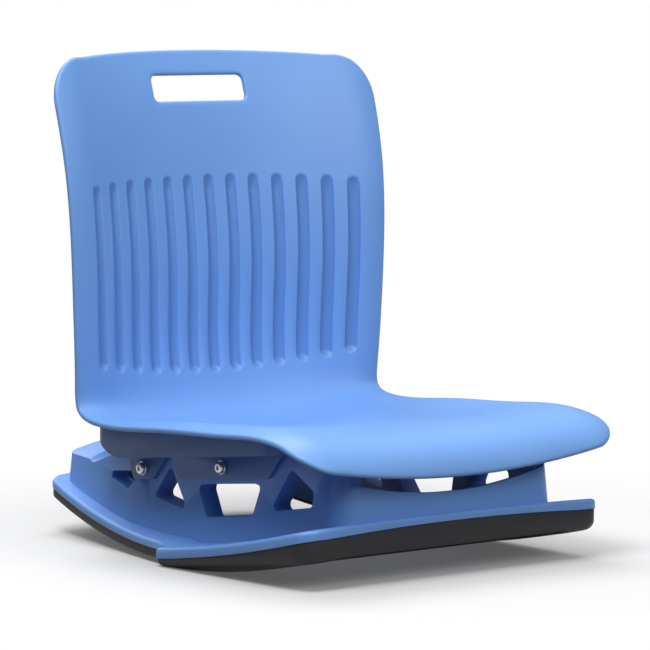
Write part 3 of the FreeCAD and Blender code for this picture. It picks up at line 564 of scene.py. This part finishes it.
# Painted shade: the carrier is the base's blue plastic, painted darker for the shade under the seat
carrier_painted_shade_blue = finish_material("carrier_painted_shade_blue", (0.095, 0.205, 0.45), (0.105, 0.225, 0.48), 0.5, tone_size=14.0)
base_blue = finish_material("base_blue", (0.155, 0.345, 0.79), (0.17, 0.37, 0.83), 0.42, tone_size=14.0)
tread_black = finish_material("tread_black", (0.0055, 0.0058, 0.008), (0.0095, 0.01, 0.0135), 0.6,
                              grain=0.12, grain_size=500.0)
zinc_steel = finish_material("zinc_steel", (0.5, 0.48, 0.45), (0.62, 0.6, 0.57), 0.34,
                             metallic=1.0, grain=0.04, tone_size=260.0)

# Pieces taken over from the frame, with eased edges
SAME_PLACE, FLAT_TURN = 1e-6, math.radians(0.6)
EDGE_TURN, SHARP_TURN = math.radians(32.0), math.radians(40.0)
TREAD_ARC_R, TREAD_LOW_Y = 1050.0, 250.0
UNDER_STEP, QUARTER_TURN = 15, 90
SCREW_ROOM = 9.0
WALL_TILT, LEAST_CORNER = 0.4, 0.5


def rounded_under(work, radius):
    """Rounds the lower edges of a tread, whose underside is an arc, away from its screw holes."""
    radius *= MM

    def rise(length):
        away = (length - FRONT_Y) / MM - TREAD_LOW_Y
        return (TREAD_ARC_R - math.sqrt(TREAD_ARC_R ** 2 - away ** 2)) * MM

    for vert in work.verts:
        vert.co.z -= rise(vert.co.y)
    for turn in range(UNDER_STEP, QUARTER_TURN + 1, UNDER_STEP):
        level = radius * (1 - math.cos(math.radians(turn)))
        everything = work.verts[:] + work.edges[:] + work.faces[:]
        bmesh.ops.bisect_plane(work, geom=everything, plane_co=(0.0, 0.0, level), plane_no=(0.0, 0.0, 1.0))
    work.normal_update()
    screws = placed(tread_screw_spots())[:, :2]
    moves = []
    for vert in work.verts:
        height = max(vert.co.z, 0.0)
        place = np.array(vert.co[:2])
        if height >= radius or np.min(np.linalg.norm(screws - place, axis=1)) < SCREW_ROOM * MM:
            continue
        sides = [face.normal for face in vert.link_faces if abs(face.normal.z) < WALL_TILT]
        walls = [Vector(side[:2]).normalized() for side in sides]
        if walls:
            out = sum(walls, Vector((0.0, 0.0))).normalized()
            inset = radius - math.sqrt(radius ** 2 - (radius - height) ** 2)
            moves.append((vert, out * (-inset / max(LEAST_CORNER, min(out.dot(wall) for wall in walls)))))
    for vert, move in moves:
        vert.co.x += move.x
        vert.co.y += move.y
    for vert in work.verts:
        vert.co.z += rise(vert.co.y)


def eased(node, name, material, width, segments, under=0.0):
    """Copy of a CAD node with eased edges and, where a radius is given, a rounded underside."""
    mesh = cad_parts[node].data.copy()
    work = bmesh.new()
    work.from_mesh(mesh)
    bmesh.ops.remove_doubles(work, verts=work.verts, dist=SAME_PLACE)
    bmesh.ops.dissolve_limit(work, angle_limit=FLAT_TURN, verts=work.verts, edges=work.edges)
    if under:
        rounded_under(work, under)
    for face in work.faces:
        face.smooth = True
    work.to_mesh(mesh)
    work.free()
    mesh.materials.clear()
    mesh.materials.append(material)
    piece = new_object(name, mesh)
    bevel = piece.modifiers.new("eased_edges", "BEVEL")
    bevel.width = width * MM
    bevel.segments = segments
    bevel.limit_method = "ANGLE"
    bevel.angle_limit = EDGE_TURN
    bevel.harden_normals = False
    shown = piece.evaluated_get(bpy.context.evaluated_depsgraph_get())
    made = bpy.data.meshes.new_from_object(shown)
    piece.modifiers.remove(bevel)
    piece.data = made
    made.set_sharp_from_angle(angle=SHARP_TURN)
    stands_for(piece, node)


# Bolts, screws, washers and nuts: turned once and repeated over their places
RING_POINTS, TURNED_SHARP = 36, math.radians(38.0)
TIP_SHARE, TIP_LENGTH = 0.8, 1.0
HEAD_EASE, HEAD_EASE_RISE, HEAD_RIM_SHARE, CROWN_SHARE, CROWN_RINGS = 0.2, 0.25, 0.2, 0.58, 5
SOCKET_EASE, SOCKET_EASE_DEPTH, SOCKET_FLOOR_SHARE, SOCKET_POINT_SHARE = 0.5, 0.3, 0.42, 0.3
WASHER_EASE = 0.3
NUT_EASE, COLLAR_EASE, COLLAR_SHARE = 0.9, 0.6, 0.46

# Underside of the carrier's tray and side of the base's rails, both sloping
TRAY_TURN, TRAY_Y, TRAY_Z = math.radians(5.9), 86.0, 137.0
RAIL_TURN, RAIL_HALF, RAIL_Z = math.radians(7.0), 151.0, 110.0

BOLT_YS, BOLT_DROP = (348.0, 202.0), 14.3
BOLT_R, BOLT_HEAD_R, BOLT_HEAD_H, BOLT_SOCKET = 4.0, 7.0, 4.4, 5.0
BOLT_PAST_NUT = 11.0
TAB_OUT = 4.7
WASHER_R, WASHER_BORE_R, WASHER_T = 8.0, 4.25, 1.6
NUT_FLATS, NUT_H, NUT_IN = 13.0, 8.0, 24.4

SHELL_SCREW_YS, SHELL_SCREW_X = (110.0, 220.0, 330.0), 92.0
SHELL_SCREW_R, SHELL_SCREW_REACH = 2.5, 18.5
SHELL_SCREW_HEAD_R, SHELL_SCREW_HEAD_H, SHELL_SCREW_SOCKET = 4.75, 3.4, 3.0
SHELL_WASHER_R, SHELL_WASHER_BORE_R, SHELL_WASHER_T = 10.0, 2.8, 1.5

TREAD_SCREW_YS, TREAD_SCREW_X = (50.0, 130.0, 210.0), 190.0
TAIL_SCREW_YS, TAIL_SCREW_IN = (330.0, 430.0, 520.0), 14.0
TREAD_SCREW_R, TREAD_SCREW_REACH, TREAD_SCREW_GRIP = 2.0, 11.0, 4.0
TREAD_SCREW_HEAD_R, TREAD_SCREW_HEAD_H, TREAD_SCREW_SOCKET = 4.0, 2.8, 2.5
FLANGE_ARC_R, FLANGE_LOW_Y, FLANGE_LOW_Z = 2000.0, 473.0, -3.9
TAIL_ARC_R, TAIL_LOW_Y, TAIL_LOW_Z = 1000.0, 265.0, 17.0
TAIL_HALF, TAIL_Y, TAIL_END_HALF, TAIL_END_Y = 206.0, 250.0, 152.0, 548.0


def tray_under(length):
    return TRAY_Z + (TRAY_Y - length) * math.tan(TRAY_TURN)


def rail_half(height):
    return RAIL_HALF + (RAIL_Z - height) * math.tan(RAIL_TURN)


def arc_height(radius, low_y, low_z, length):
    return low_z + radius - math.sqrt(radius ** 2 - (length - low_y) ** 2)


def round_ring(radius, level):
    turns = np.linspace(0, 2 * math.pi, RING_POINTS, endpoint=False)
    return np.stack((radius * np.cos(turns), radius * np.sin(turns), np.full(RING_POINTS, level)), axis=1)


def hex_ring(flats, level):
    turns = np.linspace(0, 2 * math.pi, RING_POINTS, endpoint=False)
    return round_ring(flats / 2 / np.cos((turns % (math.pi / 3)) - math.pi / 6), level)


def turned(name, rings, closed):
    """Mesh through a stack of rings, in metres; closed joins the last ring to the first, else the ends are capped."""
    points = np.concatenate(rings) * MM
    index = np.arange(len(points)).reshape(len(rings), RING_POINTS)
    pairs = list(zip(index, index[1:]))
    if closed:
        pairs.append((index[-1], index[0]))
    faces = []
    for near, far in pairs:
        faces.extend(quad_band(near, far).tolist())
    if not closed:
        faces.append(index[0][::-1].tolist())
        faces.append(index[-1].tolist())
    mesh = bpy.data.meshes.new(name)
    mesh.from_pydata(points.tolist(), [], faces)
    tidy_normals(mesh)
    mesh.set_sharp_from_angle(angle=TURNED_SHARP)
    return mesh


def bolt_mesh(name, shank, reach, head, rise, socket):
    """Round head with a hexagon socket above the seat, shank below it."""
    crown, rim = head * CROWN_SHARE, rise * HEAD_RIM_SHARE
    rings = [round_ring(shank * TIP_SHARE, -reach), round_ring(shank, -reach + TIP_LENGTH), round_ring(shank, 0.0),
             round_ring(head - HEAD_EASE, 0.0), round_ring(head, HEAD_EASE_RISE), round_ring(head, rim)]
    for turn in np.linspace(0, math.pi / 2, CROWN_RINGS + 1)[1:]:
        rings.append(round_ring(crown + (head - crown) * math.cos(turn), rim + (rise - rim) * math.sin(turn)))
    rings += [hex_ring(socket + SOCKET_EASE, rise), hex_ring(socket, rise - SOCKET_EASE_DEPTH),
              hex_ring(socket, rise * SOCKET_FLOOR_SHARE),
              hex_ring(socket * SOCKET_POINT_SHARE, rise * SOCKET_POINT_SHARE)]
    return turned(name, rings, False)


def washer_mesh(name, bore, outer, thick):
    """Flat washer with eased edges."""
    bore_eased, outer_eased = bore + WASHER_EASE, outer - WASHER_EASE
    top_eased = thick - WASHER_EASE
    rings = [round_ring(bore, WASHER_EASE), round_ring(bore, top_eased),
             round_ring(bore_eased, thick), round_ring(outer_eased, thick),
             round_ring(outer, top_eased), round_ring(outer, WASHER_EASE),
             round_ring(outer_eased, 0.0), round_ring(bore_eased, 0.0)]
    return turned(name, rings, True)


def nut_mesh(name, bore, flats, thick):
    """Hexagon nut with a round locking collar on its far side."""
    inner, collar = flats / 2, flats * COLLAR_SHARE
    flats_top, shoulder, collar_low = thick * 0.68, thick * 0.76, thick * 0.8
    collar_top, collar_end = collar * 0.97, collar * 0.85
    rings = [round_ring(bore, 0.0), round_ring(inner, 0.0), hex_ring(flats, NUT_EASE), hex_ring(flats, flats_top),
             round_ring(inner, shoulder), round_ring(collar, collar_low), round_ring(collar_top, thick - COLLAR_EASE),
             round_ring(collar_end, thick), round_ring(bore, thick)]
    return turned(name, rings, True)


def repeat_tree():
    """Puts one turned piece on every point, turned to the point's own direction."""
    t = Tree("fastener_row", "GeometryNodeTree")
    t.socket("Geometry", "NodeSocketGeometry")
    t.socket("Pattern", "NodeSocketObject")
    t.socket("Finish", "NodeSocketMaterial")
    t.socket("Geometry", "NodeSocketGeometry", "OUTPUT")
    given = t.inputs.outputs
    pattern = t.node("GeometryNodeObjectInfo")
    t.link(given["Pattern"], pattern.inputs["Object"])
    aim = t.node("FunctionNodeAlignRotationToVector", axis="Z")
    t.link(t.stored("aim", "FLOAT_VECTOR"), aim.inputs["Vector"])
    row = t.node("GeometryNodeInstanceOnPoints")
    t.link(given["Geometry"], row.inputs["Points"])
    t.link(pattern.outputs["Geometry"], row.inputs["Instance"])
    t.link(aim.outputs[0], row.inputs["Rotation"])
    real = t.node("GeometryNodeRealizeInstances")
    t.link(row.outputs[0], real.inputs[0])
    t.coat(real.outputs[0])
    return t.tree


def fastener_row(name, node, pattern, spots, aims):
    """One piece of equal steel fasteners: the pattern's mesh at each spot, pointing along its aim."""
    mesh = bpy.data.meshes.new(name)
    mesh.from_pydata(placed(spots).tolist(), [], [])
    store_numbers(mesh, "aim", aims, "FLOAT_VECTOR")
    piece = new_object(name, mesh)
    model = new_object(name + "_pattern", pattern)
    grown(piece, fastener_tree, {"Pattern": model, "Finish": zinc_steel})
    bpy.data.objects.remove(model)
    stands_for(piece, node)


def tread_screw_spots():
    """Seats of the screws under the treads, which follow the flange."""
    taper = (TAIL_HALF - TAIL_END_HALF) / (TAIL_END_Y - TAIL_Y)
    rows = [(TREAD_SCREW_X, length, arc_height(FLANGE_ARC_R, FLANGE_LOW_Y, FLANGE_LOW_Z, length))
            for length in TREAD_SCREW_YS]
    rows += [(TAIL_HALF - taper * (length - TAIL_Y) - TAIL_SCREW_IN, length,
              arc_height(TAIL_ARC_R, TAIL_LOW_Y, TAIL_LOW_Z, length)) for length in TAIL_SCREW_YS]
    return [(sign * half, length, height - TREAD_SCREW_GRIP) for half, length, height in rows for sign in (-1.0, 1.0)]


def make_bolts():
    """Bolts through the carrier's tabs and the rails, with their washers and nuts."""
    heads, washers, nuts, aims = [], [], [], []
    for length in BOLT_YS:
        height = tray_under(length) - BOLT_DROP
        seat = rail_half(height - WASHER_R) + TAB_OUT
        nut = rail_half(height + NUT_FLATS / 2) - NUT_IN
        for sign in (-1.0, 1.0):
            washers.append((sign * seat, length, height))
            heads.append((sign * (seat + WASHER_T), length, height))
            nuts.append((sign * nut, length, height))
            aims.append((sign, 0.0, 0.0))
    reach = heads[1][0] - nuts[1][0] + BOLT_PAST_NUT
    bolt = bolt_mesh("button_bolt", BOLT_R, reach, BOLT_HEAD_R, BOLT_HEAD_H, BOLT_SOCKET)
    washer = washer_mesh("flat_washer", WASHER_BORE_R, WASHER_R, WASHER_T)
    nut = nut_mesh("collar_nut", BOLT_R, NUT_FLATS, NUT_H)
    fastener_row("button_bolts", "carrier_bolts", bolt, heads, aims)
    fastener_row("flat_washers", "bolt_washers", washer, washers, aims)
    fastener_row("collar_nuts", "lock_nuts", nut, nuts, [(-x, y, z) for x, y, z in aims])


def make_screws():
    """Screws with wide washers from the tray into the shell, and screws from the treads into the flange."""
    up = np.array((0.0, math.sin(TRAY_TURN), math.cos(TRAY_TURN)))
    seats = np.array([(sign * SHELL_SCREW_X, length, tray_under(length))
                      for length in SHELL_SCREW_YS for sign in (-1.0, 1.0)])
    down = np.tile(-up, (len(seats), 1))
    washer = washer_mesh("wide_washer", SHELL_WASHER_BORE_R, SHELL_WASHER_R, SHELL_WASHER_T)
    screw = bolt_mesh("pan_screw", SHELL_SCREW_R, SHELL_SCREW_REACH, SHELL_SCREW_HEAD_R, SHELL_SCREW_HEAD_H,
                      SHELL_SCREW_SOCKET)
    fastener_row("wide_washers", "shell_screw_washers", washer, seats, down)
    fastener_row("pan_screws", "shell_screws", screw, seats - up * SHELL_WASHER_T, down)

    spots = tread_screw_spots()
    down = np.tile((0.0, 0.0, -1.0), (len(spots), 1))
    screw = bolt_mesh("tread_screw", TREAD_SCREW_R, TREAD_SCREW_REACH, TREAD_SCREW_HEAD_R, TREAD_SCREW_HEAD_H,
                      TREAD_SCREW_SOCKET)
    fastener_row("tread_screw_row", "tread_screws", screw, spots, down)


def make_shell():
    piece = new_object("moulded_shell", shell_blank())
    grown(piece, flute_tree(), {
        "Pairs": float(FLUTE_PAIRS), "Step": FLUTE_STEP, "Half Width": FLUTE_HALF_W, "Depth": FLUTE_DEPTH,
        "Top Ramp": FLUTE_TOP_RAMP, "Low Ramp": FLUTE_LOW_RAMP, "End Share": FLUTE_END_SHARE, "Top": FLUTE_TOP,
        "Top Drop": FLUTE_TOP_DROP, "Low": FLUTE_LOW, "Low Rise": FLUTE_LOW_RISE, "Finish": shell_blue})
    stands_for(piece, "seat_shell")


fastener_tree = repeat_tree()
make_shell()
make_bolts()
make_screws()
# The carrier's finish is its blue with painted shade
eased("seat_carrier", "carrier_tray", carrier_painted_shade_blue, width=1.2, segments=2)
eased("rocker_base", "truss_base", base_blue, width=1.6, segments=3)
eased("front_tread", "front_tread_rubber", tread_black, width=0.8, segments=2, under=10.0)
eased("rear_tread", "rear_tread_rubber", tread_black, width=2.0, segments=3)

# Floor, light and camera, in metres
FLOOR_SIZE, FLOOR_ROUGHNESS = 60.0, 0.9
FLOOR_TONE, FLOOR_BOUNCE_TONE = 0.7, 0.06
FADE_FROM, FADE_TO, FADE_LEAST = 0.4, 0.85, 0.09
SKY_FROM, SKY_LOW, SKY_HIGH = 0.2, 0.03, 0.8

# Lamps: place, aim, size and power
LAMPS = {
    "overhead": ((0.3, 0.9, 2.5), (0.0, 0.0, 0.2), 1.6, 28.0),
    "high_left": ((-1.4, -0.9, 2.8), (0.0, 0.0, 0.3), 1.2, 56.0),
    "front_fill": ((0.2, -2.9, 1.8), (0.0, 0.1, 0.35), 1.4, 29.0),
    "rear_fill": ((0.5, 2.8, 1.7), (0.0, 0.2, 0.35), 1.8, 16.0),
}

# Camera as fitted to the photo: its target in millimetres, its focal length and scale in pixels
CAMERA_TURN, CAMERA_RISE = math.radians(39.0), math.radians(5.0)
CAMERA_TARGET = (-102.7417, 85.7925, 274.74)
PHOTO_PIXELS, FOCAL_PIXELS, PIXELS_PER_MM = 650.0, 3700.0, 0.915
SENSOR_WIDTH, CLIP_END = 36.0, 100.0


def make_floor():
    """Pale floor that turns plain white away from the chair and sends little light back up."""
    bpy.ops.mesh.primitive_plane_add(size=FLOOR_SIZE, location=(0.0, 0.0, 0.0))
    floor = bpy.context.object
    floor.name = "floor"
    material = bpy.data.materials.new("pale_floor")
    material.use_nodes = True
    nodes, links = material.node_tree.nodes, material.node_tree.links
    shader = nodes["Principled BSDF"]
    fill(shader, {"Roughness": FLOOR_ROUGHNESS, "Specular IOR Level": 0.0})
    path = nodes.new("ShaderNodeLightPath")
    seen = nodes.new("ShaderNodeMath")
    seen.operation = "MAXIMUM"
    links.new(path.outputs["Is Camera Ray"], seen.inputs[0])
    links.new(path.outputs["Is Glossy Ray"], seen.inputs[1])
    tone = nodes.new("ShaderNodeMix")
    tone.data_type = "RGBA"
    fill(tone, {"A": (*(FLOOR_BOUNCE_TONE,) * 3, 1.0), "B": (*(FLOOR_TONE,) * 3, 1.0)})
    links.new(seen.outputs[0], tone.inputs["Factor"])
    links.new(tone.outputs["Result"], shader.inputs["Base Color"])
    place = nodes.new("ShaderNodeTexCoord")
    away = nodes.new("ShaderNodeVectorMath")
    away.operation = "LENGTH"
    links.new(place.outputs["Object"], away.inputs[0])
    fade = nodes.new("ShaderNodeMapRange")
    fade.interpolation_type = "SMOOTHSTEP"
    fill(fade, {"From Min": FADE_FROM, "From Max": FADE_TO, "To Min": FADE_LEAST})
    links.new(away.outputs["Value"], fade.inputs["Value"])
    white = nodes.new("ShaderNodeMath")
    white.operation = "MULTIPLY"
    links.new(fade.outputs[0], white.inputs[0])
    links.new(seen.outputs[0], white.inputs[1])
    glow = nodes.new("ShaderNodeEmission")
    blend = nodes.new("ShaderNodeMixShader")
    links.new(white.outputs[0], blend.inputs[0])
    links.new(shader.outputs[0], blend.inputs[1])
    links.new(glow.outputs[0], blend.inputs[2])
    links.new(blend.outputs[0], nodes["Material Output"].inputs["Surface"])
    floor.data.materials.append(material)


def make_lights():
    """Soft sky that is brighter overhead and plain white to the camera, and the softboxes."""
    world = bpy.data.worlds.new("studio")
    bpy.context.scene.world = world
    world.use_nodes = True
    nodes, links = world.node_tree.nodes, world.node_tree.links
    background = nodes["Background"]
    place = nodes.new("ShaderNodeTexCoord")
    parts = nodes.new("ShaderNodeSeparateXYZ")
    links.new(place.outputs["Generated"], parts.inputs[0])
    sky = nodes.new("ShaderNodeMapRange")
    fill(sky, {"From Min": SKY_FROM, "To Min": SKY_LOW, "To Max": SKY_HIGH})
    links.new(parts.outputs["Z"], sky.inputs["Value"])
    path = nodes.new("ShaderNodeLightPath")
    strength = nodes.new("ShaderNodeMix")
    fill(strength, {"B": 1.0})
    links.new(path.outputs["Is Camera Ray"], strength.inputs["Factor"])
    links.new(sky.outputs[0], strength.inputs["A"])
    links.new(strength.outputs["Result"], background.inputs["Strength"])
    fill(background, {"Color": (1.0, 1.0, 1.0, 1.0)})
    for name, (place, aim, size, power) in LAMPS.items():
        lamp = bpy.data.lights.new(name, "AREA")
        lamp.size = size
        lamp.energy = power
        shone = new_object(name, lamp)
        shone.location = place
        shone.rotation_euler = (Vector(aim) - Vector(place)).to_track_quat("-Z", "Y").to_euler()


def make_camera():
    """Camera where the photo was taken from."""
    level = math.cos(CAMERA_RISE)
    back = Vector((-math.sin(CAMERA_TURN) * level, -math.cos(CAMERA_TURN) * level, math.sin(CAMERA_RISE)))
    lens = bpy.data.cameras.new("camera")
    lens.sensor_width = SENSOR_WIDTH
    lens.lens = FOCAL_PIXELS / PHOTO_PIXELS * SENSOR_WIDTH
    lens.clip_end = CLIP_END
    camera = new_object("camera", lens)
    camera.location = Vector(placed(CAMERA_TARGET)) + back * (FOCAL_PIXELS / PIXELS_PER_MM * MM)
    camera.rotation_euler = (-back).to_track_quat("-Z", "Y").to_euler()
    bpy.context.scene.camera = camera


make_floor()
make_lights()
make_camera()
bpy.context.scene.view_settings.view_transform = "Standard"
bpy.context.view_layer.update()
